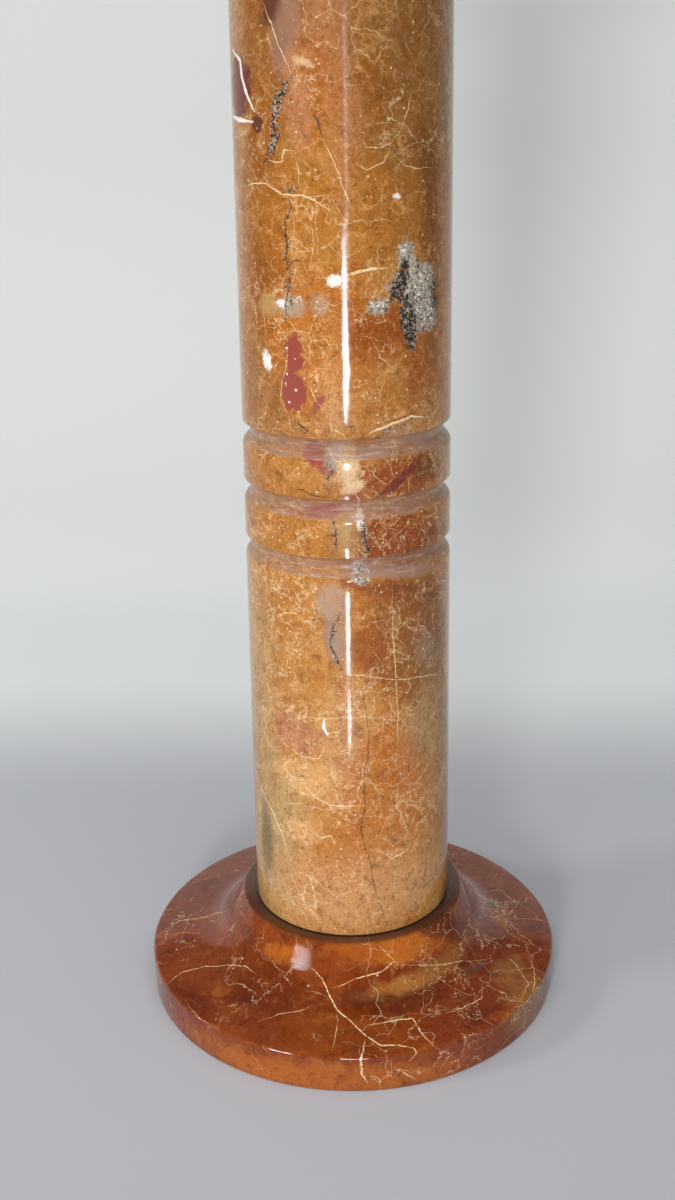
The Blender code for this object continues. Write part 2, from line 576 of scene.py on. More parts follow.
# The shaft's veins and cracks: the pixels that each runs through, its width in millimetres, its strength
CREAM_VEINS = {
    "wedge outline": ([(262, 1), (271, 23), (278, 44), (286, 61), (292, 76)], 1.1, 1.0),
    "left branch": ([(242, 56), (250, 55), (259, 51)], 0.9, 0.6),
    "under the dark vein": ([(269, 160), (276, 163), (282, 162), (284, 149), (294, 151)], 1.3, 1.0),
    "fan to the corner": ([(295, 153), (308, 148), (322, 138)], 0.9, 0.7),
    "right of the block": ([(294, 151), (299, 172), (298, 187)], 1.0, 0.8),
    "left of the block": ([(264, 166), (266, 180), (282, 193)], 1.0, 0.8),
    "long cross vein": ([(244, 186), (257, 183), (267, 184), (282, 194), (303, 196), (315, 201),
                         (326, 208), (336, 212)], 1.2, 1.0),
    "slanting vein": ([(322, 138), (330, 154), (338, 172), (345, 193), (353, 212)], 0.9, 0.9),
    "star": ([(333, 179), (340, 178), (346, 180)], 1.2, 0.8),
    "right web, upright": ([(412, 92), (407, 113), (401, 130)], 1.0, 1.0),
    "right web, top": ([(406, 31), (405, 42), (416, 65), (412, 92)], 0.8, 0.6),
    "right web, arm": ([(428, 40), (420, 52), (416, 65), (430, 59)], 0.7, 0.5),
    "right web, loop": ([(401, 130), (391, 143), (379, 148), (366, 147), (359, 137)], 0.9, 0.8),
    "right web, bow": ([(372, 126), (381, 123), (391, 123)], 0.9, 0.7),
    "right web, low": ([(389, 150), (384, 162), (367, 170), (356, 164)], 1.0, 0.9),
    "right web, tail": ([(389, 150), (403, 164), (416, 168), (434, 168)], 0.9, 0.8),
    "right web, edge": ([(420, 98), (428, 99), (436, 97)], 0.8, 0.5),
    "hanging line": ([(382, 176), (381, 201), (386, 209)], 0.8, 0.6),
    "small arch": ([(365, 225), (374, 220), (384, 219), (396, 224)], 0.8, 0.7),
    "left loop": ([(301, 222), (313, 230), (314, 243), (311, 258), (309, 283)], 0.8, 0.7),
    "blob tail": ([(313, 278), (327, 278), (334, 277)], 1.2, 0.8),
    "streak": ([(338, 278), (353, 273), (372, 268), (389, 268)], 2.6, 1.0),
    "streak twig": ([(374, 266), (375, 258)], 1.0, 0.7),
    "red streak edge": ([(307, 380), (313, 395), (324, 413)], 1.1, 0.9),
    "red drop, left": ([(287, 340), (287, 363), (282, 381), (281, 400), (289, 414)], 0.9, 0.8),
    "red drop, top": ([(286, 333), (294, 331), (304, 333)], 1.2, 0.8),
    "foot of the drop": ([(289, 416), (290, 424), (290, 432)], 1.1, 0.9),
    "low left pair": ([(283, 424), (277, 437)], 0.9, 0.8),
    "hanging net": ([(330, 427), (339, 432), (347, 438)], 1.0, 1.0),
    "hanging net, arm": ([(330, 427), (334, 437)], 0.8, 0.8),
    "curved vein": ([(367, 435), (378, 429), (401, 421), (412, 416), (430, 417)], 2.4, 1.0),
    "groove fringe": ([(325, 444), (332, 457), (341, 465)], 1.6, 1.0),
    "ring one dash": ([(297, 462), (304, 463), (312, 463)], 0.8, 0.8),
    "ring one cross": ([(284, 472), (292, 489)], 0.8, 0.6),
    "ring one speck": ([(265, 481), (270, 477)], 1.6, 0.9),
    "ring one right": ([(388, 500), (400, 486), (416, 473)], 0.9, 0.6),
    "groove two fringe": ([(352, 491), (360, 500), (357, 508), (363, 519)], 1.2, 1.0),
    "groove two left": ([(299, 508), (303, 513), (318, 512)], 0.9, 0.6),
    "ring two right": ([(422, 523), (418, 535), (408, 550)], 0.9, 0.7),
    "ring two middle": ([(340, 552), (347, 549), (352, 556)], 1.0, 0.8),
    "groove three cross": ([(298, 568), (309, 571), (312, 577)], 0.9, 0.8),
    "groove three strand": ([(312, 563), (311, 570), (315, 580)], 0.8, 0.7),
    "groove three rise": ([(366, 566), (378, 560), (390, 556)], 0.9, 0.8),
    "scribble one": ([(266, 568), (276, 591), (286, 610)], 0.9, 0.7),
    "scribble two": ([(271, 622), (284, 613), (296, 613), (303, 623)], 1.0, 0.9),
    "scribble three": ([(272, 622), (277, 631), (289, 639)], 0.9, 0.8),
    "scribble four": ([(278, 603), (286, 616)], 1.4, 1.0),
    "scribble five": ([(290, 580), (292, 592), (301, 604)], 0.7, 0.5),
    "dotted upright": ([(392, 583), (393, 638), (396, 676), (398, 718), (397, 753)], 1.5, 0.75),
    "cross line": ([(334, 672), (347, 674), (365, 676), (388, 679), (401, 679), (430, 675), (443, 674)],
                   0.9, 0.9),
    "cross line, low": ([(360, 682), (374, 684), (396, 686)], 0.7, 0.5),
    "bevel line": ([(366, 641), (382, 663), (393, 684)], 0.7, 0.7),
    "forked line": ([(391, 686), (389, 703), (395, 715)], 0.8, 0.7),
    "right upright": ([(424, 686), (422, 719), (420, 753), (418, 764)], 0.7, 0.6),
    "short dash": ([(330, 692), (341, 694), (352, 695)], 0.9, 0.8),
    "second cross line": ([(286, 707), (298, 715), (319, 719), (342, 718), (366, 717), (407, 719)],
                          0.9, 0.8),
    "second cross twig": ([(289, 700), (294, 710), (308, 727)], 0.8, 0.6),
    "pale loop": ([(275, 732), (286, 745), (303, 757), (319, 759), (323, 751), (323, 740)], 0.9, 0.9),
    "loop's neighbour": ([(327, 752), (331, 758), (340, 753), (358, 755)], 0.8, 0.6),
    "right hill": ([(379, 763), (387, 760), (395, 754), (411, 759)], 0.9, 0.7),
    "mottled spine": ([(302, 778), (307, 788), (315, 797), (330, 805), (345, 806), (365, 806)], 1.4, 1.0),
    "mottled spine, left": ([(281, 802), (295, 804), (308, 803)], 1.1, 0.8),
    "mottled foot": ([(307, 826), (320, 838), (331, 836), (337, 846)], 1.6, 0.9),
    "mottled drop": ([(318, 788), (336, 790), (337, 800), (339, 815)], 0.9, 0.6),
    "right net one": ([(386, 806), (395, 806), (402, 814), (405, 826), (411, 837)], 1.0, 0.9),
    "right net two": ([(402, 801), (412, 797), (418, 789)], 0.9, 0.8),
    "right net three": ([(425, 800), (432, 790), (441, 783)], 0.8, 0.7),
    "right net four": ([(386, 840), (393, 846), (404, 838), (412, 822)], 1.0, 0.8),
    "low curl": ([(383, 853), (392, 858), (402, 853), (411, 847)], 1.8, 0.9),
    "low curl, top": ([(385, 858), (386, 852), (396, 849)], 1.0, 0.8),
    "left diagonal": ([(259, 780), (263, 791), (273, 812), (282, 833), (290, 858)], 1.8, 1.0),
    "foot diagonal": ([(273, 860), (284, 883), (291, 900), (305, 915), (309, 928)], 1.0, 0.8),
    "foot dash": ([(394, 895), (408, 893), (419, 889)], 0.9, 0.7),
    "foot cross": ([(371, 903), (378, 901), (383, 904)], 1.2, 0.8),
}
WHITE_VEINS = {
    "white stroke": ([(325, 719), (324, 728), (328, 736)], 2.4, 1.3),
    "left lilac band": ([(232, 48), (240, 60), (242, 77), (246, 92), (252, 107), (255, 112)], 3.9, 1.1),
    "left lilac foot": ([(232, 115), (240, 120), (253, 122)], 3.9, 1.0),
    "star needle": ([(292, 302), (300, 297), (303, 305)], 1.0, 0.9),
    "left diagonal core": ([(264, 793), (273, 812), (281, 831)], 0.8, 0.9),
}
DARK_CRACKS = {
    "long crack": ([(361, 684), (364, 700), (366, 715), (369, 734), (368, 759), (364, 769), (364, 791),
                    (365, 807), (361, 826), (363, 841), (369, 858), (374, 886), (383, 912), (388, 930)],
                   0.9, 1.0),
    "upper crack": ([(313, 113), (318, 122), (322, 136)], 2.1, 0.9),
    "upright seam": ([(289, 191), (290, 209), (285, 224), (287, 243), (286, 260), (290, 276), (287, 295),
                      (286, 318), (289, 331)], 1.1, 0.9),
    "seam's twin": ([(291, 262), (296, 260), (303, 261)], 2.2, 0.7),
    "line of the right": ([(407, 352), (410, 371), (409, 400), (407, 412)], 0.9, 0.6),
    "top right nick": ([(394, 2), (396, 12)], 1.4, 0.8),
    "curved vein's shade": ([(377, 425), (399, 419), (411, 413), (421, 414)], 1.2, 0.7),
    "low nick": ([(297, 423), (303, 428), (310, 433)], 2.9, 0.9),
    "ring one scribble": ([(290, 489), (303, 490), (315, 496), (330, 498)], 1.6, 0.8),
    "ring one nick": ([(322, 482), (330, 490)], 1.9, 0.8),
    "ring two bow": ([(298, 514), (284, 528), (276, 541)], 1.1, 0.8),
    "ring two bow's cross": ([(279, 518), (284, 526), (290, 534)], 0.7, 0.6),
    "ring two left crack": ([(332, 515), (334, 524), (336, 532), (336, 545), (338, 556)], 1.2, 0.85),
    "ring two right crack": ([(364, 520), (364, 534), (367, 545), (369, 554)], 1.6, 0.95),
    "patch needle": ([(340, 612), (338, 620), (332, 627), (330, 644), (334, 650), (340, 667),
                      (342, 673)], 1.1, 0.9),
    "small dots": ([(315, 650), (317, 657)], 1.5, 0.8),
    "dash's head": ([(325, 713), (326, 717)], 1.8, 0.8),
    "fan": ([(309, 747), (316, 741), (322, 736)], 0.8, 0.7),
    "left crossing": ([(300, 764), (298, 775), (299, 789)], 1.0, 0.5),
    "four sign, bar": ([(399, 770), (409, 769)], 1.3, 0.9),
    "four sign, post": ([(408, 761), (409, 770), (410, 778)], 1.4, 0.9),
    "right foot line": ([(398, 772), (399, 791), (403, 799)], 0.8, 0.7),
    "right edge dashes": ([(439, 637), (432, 652), (424, 662), (417, 672)], 1.2, 0.7),
    "left edge line": ([(241, 190), (244, 215), (243, 240)], 1.0, 0.6),
}
BROWN_LINES = {
    "brown upright": ([(318, 1), (316, 28), (315, 56)], 1.4, 0.8),
    "far right line": ([(434, 163), (436, 212), (437, 255)], 1.2, 0.7),
    "far right line, low": ([(424, 196), (423, 230)], 1.6, 0.5),
    "left thin line": ([(261, 213), (258, 235), (260, 250)], 1.3, 0.7),
}

# The shaft's stains, with a painted highlight glow among them: colour, middle pixel, reach across and
# down in pixels, turn, softness, strength
SHAFT_STAINS_AND_PAINTED_LIGHT = {
    "top left": ("brown", (263, 60), (18, 80), 0, 0.5, 0.8),
    "left side": ("orange", (268, 240), (17, 120), 0, 0.5, 0.8),
    "left side, shade": ("umber", (262, 235), (18, 90), 0, 0.7, 0.55),
    "left side, low shade": ("umber", (264, 390), (20, 40), 0, 0.7, 0.40),
    "top middle": ("rose", (322, 45), (22, 60), 0, 0.6, 0.7),
    "top right": ("umber", (408, 110), (45, 110), 0, 0.6, 0.50),
    "right, below the top": ("umber", (412, 205), (30, 50), 0, 0.7, 0.35),
    "ring two right, under": ("umber", (400, 535), (46, 26), 0, 0.7, 0.40),
    "ring one left, under": ("umber", (275, 477), (30, 22), 0, 0.7, 0.25),
    "lower middle, pale": ("peach", (345, 735), (26, 44), 0, 0.7, 0.50),
    "upper middle": ("rose", (346, 130), (14, 60), 0, 0.7, 0.5),
    "right of the dark vein": ("orange", (318, 95), (20, 50), 0, 0.6, 0.6),
    "beside the dark vein": ("rose", (297, 108), (11, 36), 8, 0.5, 0.8),
    "middle band": ("ochre", (340, 215), (90, 50), 0, 0.7, 0.6),
    "above the rings": ("orange", (320, 340), (50, 60), 0, 0.6, 0.7),
    "below the crystals, left": ("rust", (376, 330), (30, 26), 0, 0.6, 0.8),
    "below the crystals, right": ("rust", (425, 345), (18, 60), 0, 0.5, 0.5),
    # Painted highlight: a glow beside the lit streak
    "beside the streak": ("peach", (333, 372), (12, 40), 0, 0.7, 0.2),
    "right edge": ("umber", (432, 240), (9, 90), 0, 0.7, 0.6),
    "ring one left": ("ochre", (285, 477), (40, 20), 0, 0.4, 0.9),
    "ring one right": ("rust", (400, 478), (46, 20), 0, 0.5, 0.95),
    "ring one edge": ("umber", (430, 463), (12, 14), 0, 0.5, 0.8),
    "ring two left": ("ochre", (298, 535), (42, 22), 0, 0.4, 0.9),
    "ring two middle": ("tan", (350, 530), (11, 20), 0, 0.5, 0.7),
    "ring two right": ("rust", (398, 537), (42, 24), 0, 0.4, 1.0),
    "below the rings, left": ("ochre", (300, 600), (38, 36), 0, 0.6, 0.75),
    "below the rings, band": ("brick", (400, 592), (42, 10), -16, 0.5, 0.85),
    "below the rings, right": ("orange", (388, 640), (42, 50), 0, 0.6, 0.65),
    "below the rings, edge": ("umber", (415, 630), (32, 60), 0, 0.7, 0.60),
    "beside the lower streak": ("rust", (374, 650), (18, 20), 0, 0.7, 0.5),
    "lower left edge": ("tan", (256, 720), (10, 110), 0, 0.7, 0.75),
    "lower left cloud": ("ochre", (306, 668), (22, 22), 0, 0.6, 0.5),
    "pale loop's inside": ("rose", (296, 735), (26, 20), 0, 0.25, 0.9),
    "lower middle, rose": ("rose", (348, 745), (16, 50), 0, 0.6, 0.6),
    "lower middle, amber": ("amber", (387, 745), (15, 34), 0, 0.5, 0.7),
    "lower right edge": ("umber", (434, 690), (12, 70), 0, 0.7, 0.45),
    "lower right, tan": ("tan", (432, 725), (12, 40), 0, 0.7, 0.5),
    "upper mottled patch": ("peach", (306, 778), (26, 15), 0, 0.7, 0.75),
    "mottled patch, tan": ("tan", (284, 820), (22, 34), 20, 0.7, 0.8),
    "lower mottled patch": ("peach", (304, 832), (16, 12), 0, 0.6, 0.8),
    "right of the long crack": ("amber", (385, 800), (40, 44), 0, 0.6, 0.65),
    "above the foot": ("orange", (352, 850), (50, 34), 0, 0.7, 0.40),
    "foot": ("peach", (345, 895), (80, 30), 0, 0.7, 0.5),
    "foot, rose": ("rose", (345, 900), (80, 30), 0, 0.7, 0.45),
    "foot, left edge": ("tan", (262, 860), (14, 60), 0, 0.6, 0.7),
}
SHAFT_PATCHES = {
    "wedge, plum": ("plum", (271, 2), (9, 24), -16, 0.3, 0.95),
    "wedge": ("mauve", (285, 30), (11, 38), -14, 0.6, 0.6),
    "wedge's tip": ("rose", (289, 62), (5, 14), -10, 0.4, 0.8),
    "left edge patch": ("maroon", (239, 88), (9, 30), 0, 0.25, 1.0),
    "left edge patch's foot": ("plum", (257, 124), (5, 9), -20, 0.2, 1.0),
    "red drop, top": ("red", (294, 352), (9, 21), 0, 0.12, 1.0),
    "red drop, foot": ("red", (293, 390), (12, 22), 0, 0.12, 1.0),
    "red streak": ("red", (318, 404), (4, 11), -35, 0.3, 0.9),
    "ring one red, top": ("red", (315, 452), (12, 14), -20, 0.15, 1.0),
    "ring one red, foot": ("red", (326, 466), (9, 8), -30, 0.2, 0.9),
    "ring one bar": ("maroon", (400, 480), (24, 5), 32, 0.3, 0.85),
    "groove two red": ("red", (330, 509), (27, 6), 8, 0.25, 0.95),
    "groove two red, right": ("red", (352, 497), (11, 8), 20, 0.3, 0.9),
    "groove three band": ("mauve", (395, 572), (46, 6), -8, 0.5, 0.75),
    "groove one band": ("mauve", (420, 440), (28, 7), -20, 0.5, 0.6),
    "lower right cloud": ("mauve", (412, 735), (10, 20), 0, 0.8, 0.25),
    "needle's bed": ("mauve", (333, 640), (8, 22), 10, 0.5, 0.7),
    "olive lens": ("olive", (267, 838), (4, 26), 0, 0.9, 0.7),
    "right edge cloud": ("grey", (428, 650), (8, 18), 40, 0.6, 0.25),
    "groove one cloud": ("mauve", (375, 452), (14, 5), 0, 0.4, 0.8),
}
PALE_BLOTS_AND_HIGHLIGHTS = {
    "left blob": ("tan", (270, 305), (8, 9), 0, 0.8, 0.7),
    "knot's bed": ("grey", (292, 306), (10, 8), 0, 0.8, 0.7),
    "white bead": ("white", (334, 281), (7, 6), 0, 0.3, 0.95),
    "star": ("white", (281, 303), (5, 4), 0, 0.4, 0.9),
    "right blob": ("grey", (320, 305), (8, 10), 20, 0.6, 0.45),
    "left tear": ("white", (267, 360), (3.5, 9), 18, 0.4, 0.9),
    "upper bead": ("white", (397, 196), (3, 3), 0, 0.4, 0.9),
    "wedge dash": ("cream", (303, 62), (9, 4), -20, 0.6, 0.5),
    "ring one, grey": ("grey", (334, 456), (7, 15), -25, 0.5, 0.8),
    # Partly paler stone, partly a painted highlight on the first ring
    "ring one, pale": ("cream", (348, 470), (8, 12), 0, 0.8, 0.6),
    "ring one, pale foot": ("cream", (353, 487), (9, 5), 20, 0.8, 0.6),
    "ring two, pale": ("tan", (350, 534), (12, 22), 0, 0.8, 0.35),
    "ring two, white": ("white", (360, 519), (4, 10), 0, 0.5, 0.7),
    "ball": ("grey", (333, 602), (14, 14), 0, 0.6, 0.6),
    "ball's inside": ("rose", (337, 606), (9, 9), 0, 0.6, 0.6),
    "ball's tail": ("grey", (340, 636), (8, 24), 10, 0.9, 0.25),
    "drop speck one": ("white", (287, 348), (1.1, 1.1), 0, 0.4, 0.9),
    "drop speck two": ("white", (287, 374), (1.1, 1.1), 0, 0.4, 0.9),
    "drop speck three": ("white", (296, 390), (1.1, 1.1), 0, 0.4, 0.9),
    "drop speck four": ("white", (289, 402), (1.1, 1.1), 0, 0.4, 0.9),
}

# Where the shaft has lacy lines and crystals: the same rows, without a colour and a strength
LACE = {
    "upper mottled patch": ((308, 777), (28, 14), 0, 0.7),
    "mottled band": ((318, 800), (26, 9), 0, 0.7),
    "lower mottled patch": ((304, 831), (16, 12), 0, 0.7),
    "right net": ((420, 812), (20, 14), 0, 0.7),
    "low curl": ((396, 848), (17, 11), 0, 0.7),
    "scribbles": ((288, 615), (18, 26), 20, 0.7),
    "cross lines": ((300, 715), (40, 10), 10, 0.7),
}
CRYSTALS = {
    "neck": ((406, 256), (9, 15), 0, 0.25),
    "body": ((416, 286), (23, 22), 0, 0.18),
    "right foot": ((424, 306), (13, 15), 0, 0.3),
    "tail": ((409, 322), (7, 28), 6, 0.3),
    "side blob": ((379, 306), (11, 8), 10, 0.35),
    "groove three knot": ((360, 572), (9, 13), 10, 0.35),
    "right foot, low": ((426, 318), (12, 12), 0, 0.35),
}
CRYSTAL_SHADES = {
    "left flank": ((397, 296), (6, 18), -10, 0.6),
    "tail": ((408, 326), (7, 28), 6, 0.6),
    "right flank": ((436, 292), (4, 16), 0, 0.7),
    "neck's foot": ((404, 272), (4, 12), 0, 0.7),
}

# The shaft's dark granular veins, in rows like those of the other veins
DARK_GRAIN = {
    "dark vein": ([(292, 77), (282, 90), (276, 105), (274, 119), (276, 134), (271, 149),
                   (266, 163)], 12.2, 1.0),
    "dark vein's foot": ([(266, 163), (264, 178), (265, 184)], 3.4, 0.8),
    "knot": ([(284, 189), (291, 189), (298, 190)], 6.3, 0.9),
    "knot by the blob": ([(290, 296), (292, 305), (287, 312)], 5.6, 0.8),
    "seam grain": ([(289, 191), (290, 209), (285, 224), (287, 243), (286, 260), (290, 276), (287, 295),
                    (286, 318), (289, 331)], 10.6, 0.5),
    "grain under the drop": ([(291, 418), (297, 428), (306, 434)], 11.9, 0.6),
    "ring one grain": ([(318, 441), (327, 455), (332, 470), (325, 485), (331, 499)], 10.6, 0.6),
    "ring two grain": ([(333, 515), (335, 530), (337, 556)], 11.9, 0.65),
    "ring two grain, right": ([(363, 518), (364, 534), (368, 556)], 13.0, 0.75),
    "groove grain": ([(366, 556), (360, 570), (350, 582)], 14.3, 0.7),
    "needle grain": ([(342, 608), (336, 622), (331, 642), (336, 660), (343, 674)], 9.5, 0.6),
    "curved vein's grain": ([(372, 440), (385, 432), (402, 424), (416, 418), (432, 424)], 9.0, 0.6),
    "upper crack's grain": ([(311, 110), (318, 122), (322, 136)], 10.6, 0.6),
}

# The base's veins, and its stains with painted shade, painted light and painted reflection, in the same
# kinds of row
BASE_VEINS = {
    "main branch": ([(308, 965), (322, 978), (331, 998), (337, 1010), (351, 1021), (365, 1035),
                     (380, 1045), (397, 1045), (414, 1048), (417, 1054), (408, 1061)], 2.2, 1.0),
    "main branch, down": ([(365, 1040), (361, 1058), (361, 1073), (368, 1083)], 2.1, 1.0),
    "main branch, left": ([(337, 1011), (337, 1027), (332, 1050)], 1.3, 0.9),
    "left twig": ([(256, 1022), (279, 1014), (302, 1010), (314, 1005)], 1.5, 0.8),
    "left short twig": ([(302, 989), (318, 993), (330, 998)], 0.9, 0.7),
    "under the seat": ([(278, 934), (286, 948)], 1.1, 0.9),
    "upper arc": ([(334, 988), (354, 979), (383, 971), (394, 961), (383, 949), (377, 944)], 1.8, 0.9),
    "upper line": ([(397, 964), (431, 965), (460, 961), (492, 958)], 1.6, 0.8),
    "right drop": ([(482, 984), (482, 998), (460, 1009), (440, 1014)], 1.8, 0.8),
    "middle drop": ([(434, 984), (431, 1001), (421, 1012)], 1.4, 0.6),
    "front loop": ([(368, 1025), (391, 1021), (413, 1018), (418, 1027), (426, 1038),
                    (434, 1047)], 1.8, 0.9),
    "rim web one": ([(391, 1061), (391, 1078)], 2.0, 0.9),
    "rim web two": ([(393, 1067), (405, 1074), (417, 1080)], 1.8, 0.9),
    "rim web three": ([(440, 1070), (447, 1058), (455, 1052)], 1.5, 0.7),
    "left arc": ([(167, 987), (182, 972), (207, 966), (228, 965), (245, 966), (256, 974)], 1.5, 0.9),
    "left high line": ([(156, 938), (179, 921), (216, 913), (239, 898)], 2.0, 0.8),
    "left higher line": ([(192, 884), (206, 878), (225, 876)], 1.5, 0.5),
    "left low line": ([(185, 1000), (199, 1018), (216, 1027)], 1.5, 0.7),
    "right far line": ([(472, 889), (500, 889), (509, 898), (546, 923)], 1.7, 0.6),
    "right far line, two": ([(478, 913), (505, 922), (535, 940)], 1.5, 0.5),
    "right web one": ([(500, 950), (516, 965), (528, 985), (520, 1000)], 1.7, 0.7),
    "right web two": ([(528, 955), (535, 975), (528, 1000), (505, 1030)], 1.7, 0.7),
    "slope twig": ([(452, 905), (444, 925), (440, 940)], 0.9, 0.5),
}
BASE_STAINS_AND_PAINTED_LIGHT = {
    # Painted reflection: a mauve haze on the far left and right of the base
    "left back": ("plum", (195, 910), (50, 40), 0, 0.5, 0.85),
    "right back": ("plum", (505, 905), (44, 36), 0, 0.5, 0.85),
    "left rim's shade": ("deep", (190, 1000), (40, 14), 0, 0.6, 0.5),
    "slope's left": ("amber", (284, 954), (22, 8), 10, 0.6, 0.7),
    # Painted light: the lit band along the front of the slope
    "slope's front": ("amber", (395, 950), (50, 14), -4, 0.6, 0.80),
    "slope's foot": ("russet", (330, 962), (40, 12), 10, 0.6, 0.5),
    "slope's right": ("deep", (440, 925), (26, 14), -20, 0.7, 0.7),
    # Painted shade: the dark band in the hollow of the sweep, with a painted lit stroke on it
    "left sweep": ("deep", (262, 985), (50, 24), 0, 0.7, 0.55),
    "front sweep": ("deep", (390, 1000), (48, 14), 0, 0.7, 0.75),
    "front sweep's light": ("amber", (400, 985), (24, 6), 0, 0.7, 0.5),
    "front edge": ("brick", (300, 1035), (60, 12), 0, 0.7, 0.6),
    "rim front": ("amber", (310, 1078), (110, 12), 0, 0.7, 0.6),
    "veil": ("sand", (430, 973), (46, 8), 5, 0.9, 0.4),
    "veil, right": ("sand", (508, 970), (30, 18), 0, 0.9, 0.4),
    "veil's patch": ("plum", (475, 969), (18, 6), -5, 0.3, 0.95),
    "veil, edge": ("sand", (530, 1000), (12, 26), 0, 0.7, 0.4),
    # Painted shade on the right of the sweep
    "right sweep": ("brick", (470, 1012), (50, 14), 0, 0.7, 0.7),
    "right sweep's shade": ("deep", (480, 1015), (26, 8), 0, 0.7, 0.5),
}

# Where looks start and end on the stones, in metres
TURNED_OVER = SHAFT_FOOT + SHAFT_HEAD
BACK_BLEND = 0.0001
SIDE_FADE = (0.005, 0.018)
BROWNING = (0.20, 0.62)
GROOVE_SINKING = (0.0002, 0.0012)
FOOT_JOINT_SHADE = (SHAFT_FOOT + 0.0006, SHAFT_FOOT + 0.0001)
SEAT_DIRT_AND_SHADE = (SEAT_RADIUS + 0.0015, SEAT_RADIUS - 0.003)
SEAT_SHADE_AND_DIRT_HEIGHT = (BASE_HEIGHT - 0.003, BASE_HEIGHT - 0.001)
JOINT_GAP_SHADE = (FOOT_RADIUS + 0.0035, FOOT_RADIUS + 0.0005)

# How many times finer in height than round the shaft the streaks in its grooves are
STREAK_SQUEEZE = 7.0

# Lines that come and go: the scale of the clouds that bare them, beside their own, and how softly
THREAD_CLOUDS = 0.8
THREAD_FADE = 0.12
NET_CLOUDS = 0.45
NET_FADE = 0.15

MILLIMETRE = 0.001


def on_shaft(pixel):
    """A pixel's place on the unrolled shaft: metres round from the front, and height."""
    place = touch(pixel, "shaft")
    return FOOT_RADIUS * math.atan2(place.x, -place.y), place.z


def on_base(pixel):
    """A pixel's place on the unrolled base: metres round from the front, and up and in from its foot."""
    place = touch(pixel, "base")
    inward = BASE_RADIUS - math.hypot(place.x, place.y)
    return BASE_RADIUS * math.atan2(place.x, -place.y), place.z + inward


def veins(stone, flat, table, finder):
    """The strongest of a table's veins, drawn in groups of a few veins."""
    rows = list(table.values())
    strongest = None
    for first in range(0, len(rows), VEINS_IN_GROUP):
        group = Group("veins")
        best = None
        for points, width, strength in rows[first:first + VEINS_IN_GROUP]:
            places = [finder(point) for point in points]
            value = draw_vein(group, group.inputs, places, width * MILLIMETRE, strength)
            best = value if best is None else group.math("MAXIMUM", best, value)
        value = group.finish(stone, flat, best)
        strongest = value if strongest is None else stone.math("MAXIMUM", strongest, value)
    return strongest


def reach_of(centre, radii, finder):
    """How far some pixels across and down reach on the stone, around a pixel that shows it."""
    across, down = centre
    width = abs(finder((across + PROBE, down))[0] - finder((across - PROBE, down))[0])
    height = abs(finder((across, down - PROBE))[1] - finder((across, down + PROBE))[1])
    return radii[0] * width / (2 * PROBE), radii[1] * height / (2 * PROBE)


def stain_and_light_layers(stone, ground, flat, table, finder):
    """Lay a table's soft marks on a ground, one after another: stain marks, painted shade and painted
    highlights.
    """
    group = Group("stain_and_light_layers", "NodeSocketColor")
    layered = group.inputs["Ground"]
    for colour, centre, radii, turn_degrees, soft, strength in table.values():
        reach = reach_of(centre, radii, finder)
        mask = group.blot(group.inputs, finder(centre), reach, turn_degrees, soft)
        layered = group.coat(layered, colour, mask, strength)
    return group.finish(stone, flat, layered, ground)


def ovals(stone, flat, table, finder):
    """The strongest of a table's ovals."""
    group = Group("ovals")
    strongest = None
    for centre, radii, turn_degrees, soft in table.values():
        reach = reach_of(centre, radii, finder)
        mask = group.blot(group.inputs, finder(centre), reach, turn_degrees, soft)
        strongest = mask if strongest is None else group.math("MAXIMUM", strongest, mask)
    return group.finish(stone, flat, strongest)


def hairlines(stone, scale, width, bare):
    """Fine wandering lines that come and go, their scale in repeats per metre."""
    drift = stone.noise(stone.solid, scale, 5.0, 0.6, 0.4)
    apart = stone.math("ABSOLUTE", stone.math("SUBTRACT", drift, 0.5))
    line = stone.between(apart, width, 0.0)
    clouds = stone.noise(stone.solid, scale * THREAD_CLOUDS, 2.0)
    where = stone.between(clouds, bare, bare + THREAD_FADE)
    return stone.times(line, where)


def crazing(stone, shake, scale, width, bare):
    """A net of hairline breaks that comes and goes, shaken by a pattern's scale and amount."""
    place = stone.shaken(stone.solid, *shake)
    edge = stone.cells(place, scale).outputs["Distance"]
    line = stone.between(edge, width, 0.0)
    where = stone.between(stone.noise(place, scale * NET_CLOUDS, 3.0), bare, bare + NET_FADE)
    return stone.times(line, where)


def specks(stone, scale, size, share):
    """Small round specks, their scale in repeats per metre, in a share of the places for one."""
    cells = stone.cells(stone.solid, scale, "F1").outputs
    dot = stone.between(cells["Distance"], size, size * 0.5)
    chosen = stone.add("ShaderNodeSeparateColor", plug={0: cells["Color"]}).outputs[1]
    return stone.times(dot, stone.between(chosen, 1.0 - share, 1.02 - share))


def strongest_of(stone, net, small_net, threads):
    """Two nets of breaks and a set of threads, as one web."""
    return stone.math("MAXIMUM", stone.math("MAXIMUM", net, small_net), threads)


def coordinates(stone, across, up, shakes, ragged):
    """An unrolled place, shaken, as the coordinates that veins, stain marks and painted light are laid
    by.
    """
    place = stone.add("ShaderNodeCombineXYZ", plug={"X": across, "Y": up}).outputs[0]
    for scale, amount in shakes:
        place = stone.shaken(place, scale, amount)
    apart = stone.add("ShaderNodeSeparateXYZ", plug={0: place}).outputs
    return apart["X"], apart["Y"], ragged


def radius_from(stone):
    """Distance from the axis of turning."""
    square = stone.times(stone.axes["X"], stone.axes["X"])
    square = stone.math("MULTIPLY_ADD", stone.axes["Y"], stone.axes["Y"], square)
    return stone.math("SQRT", square)


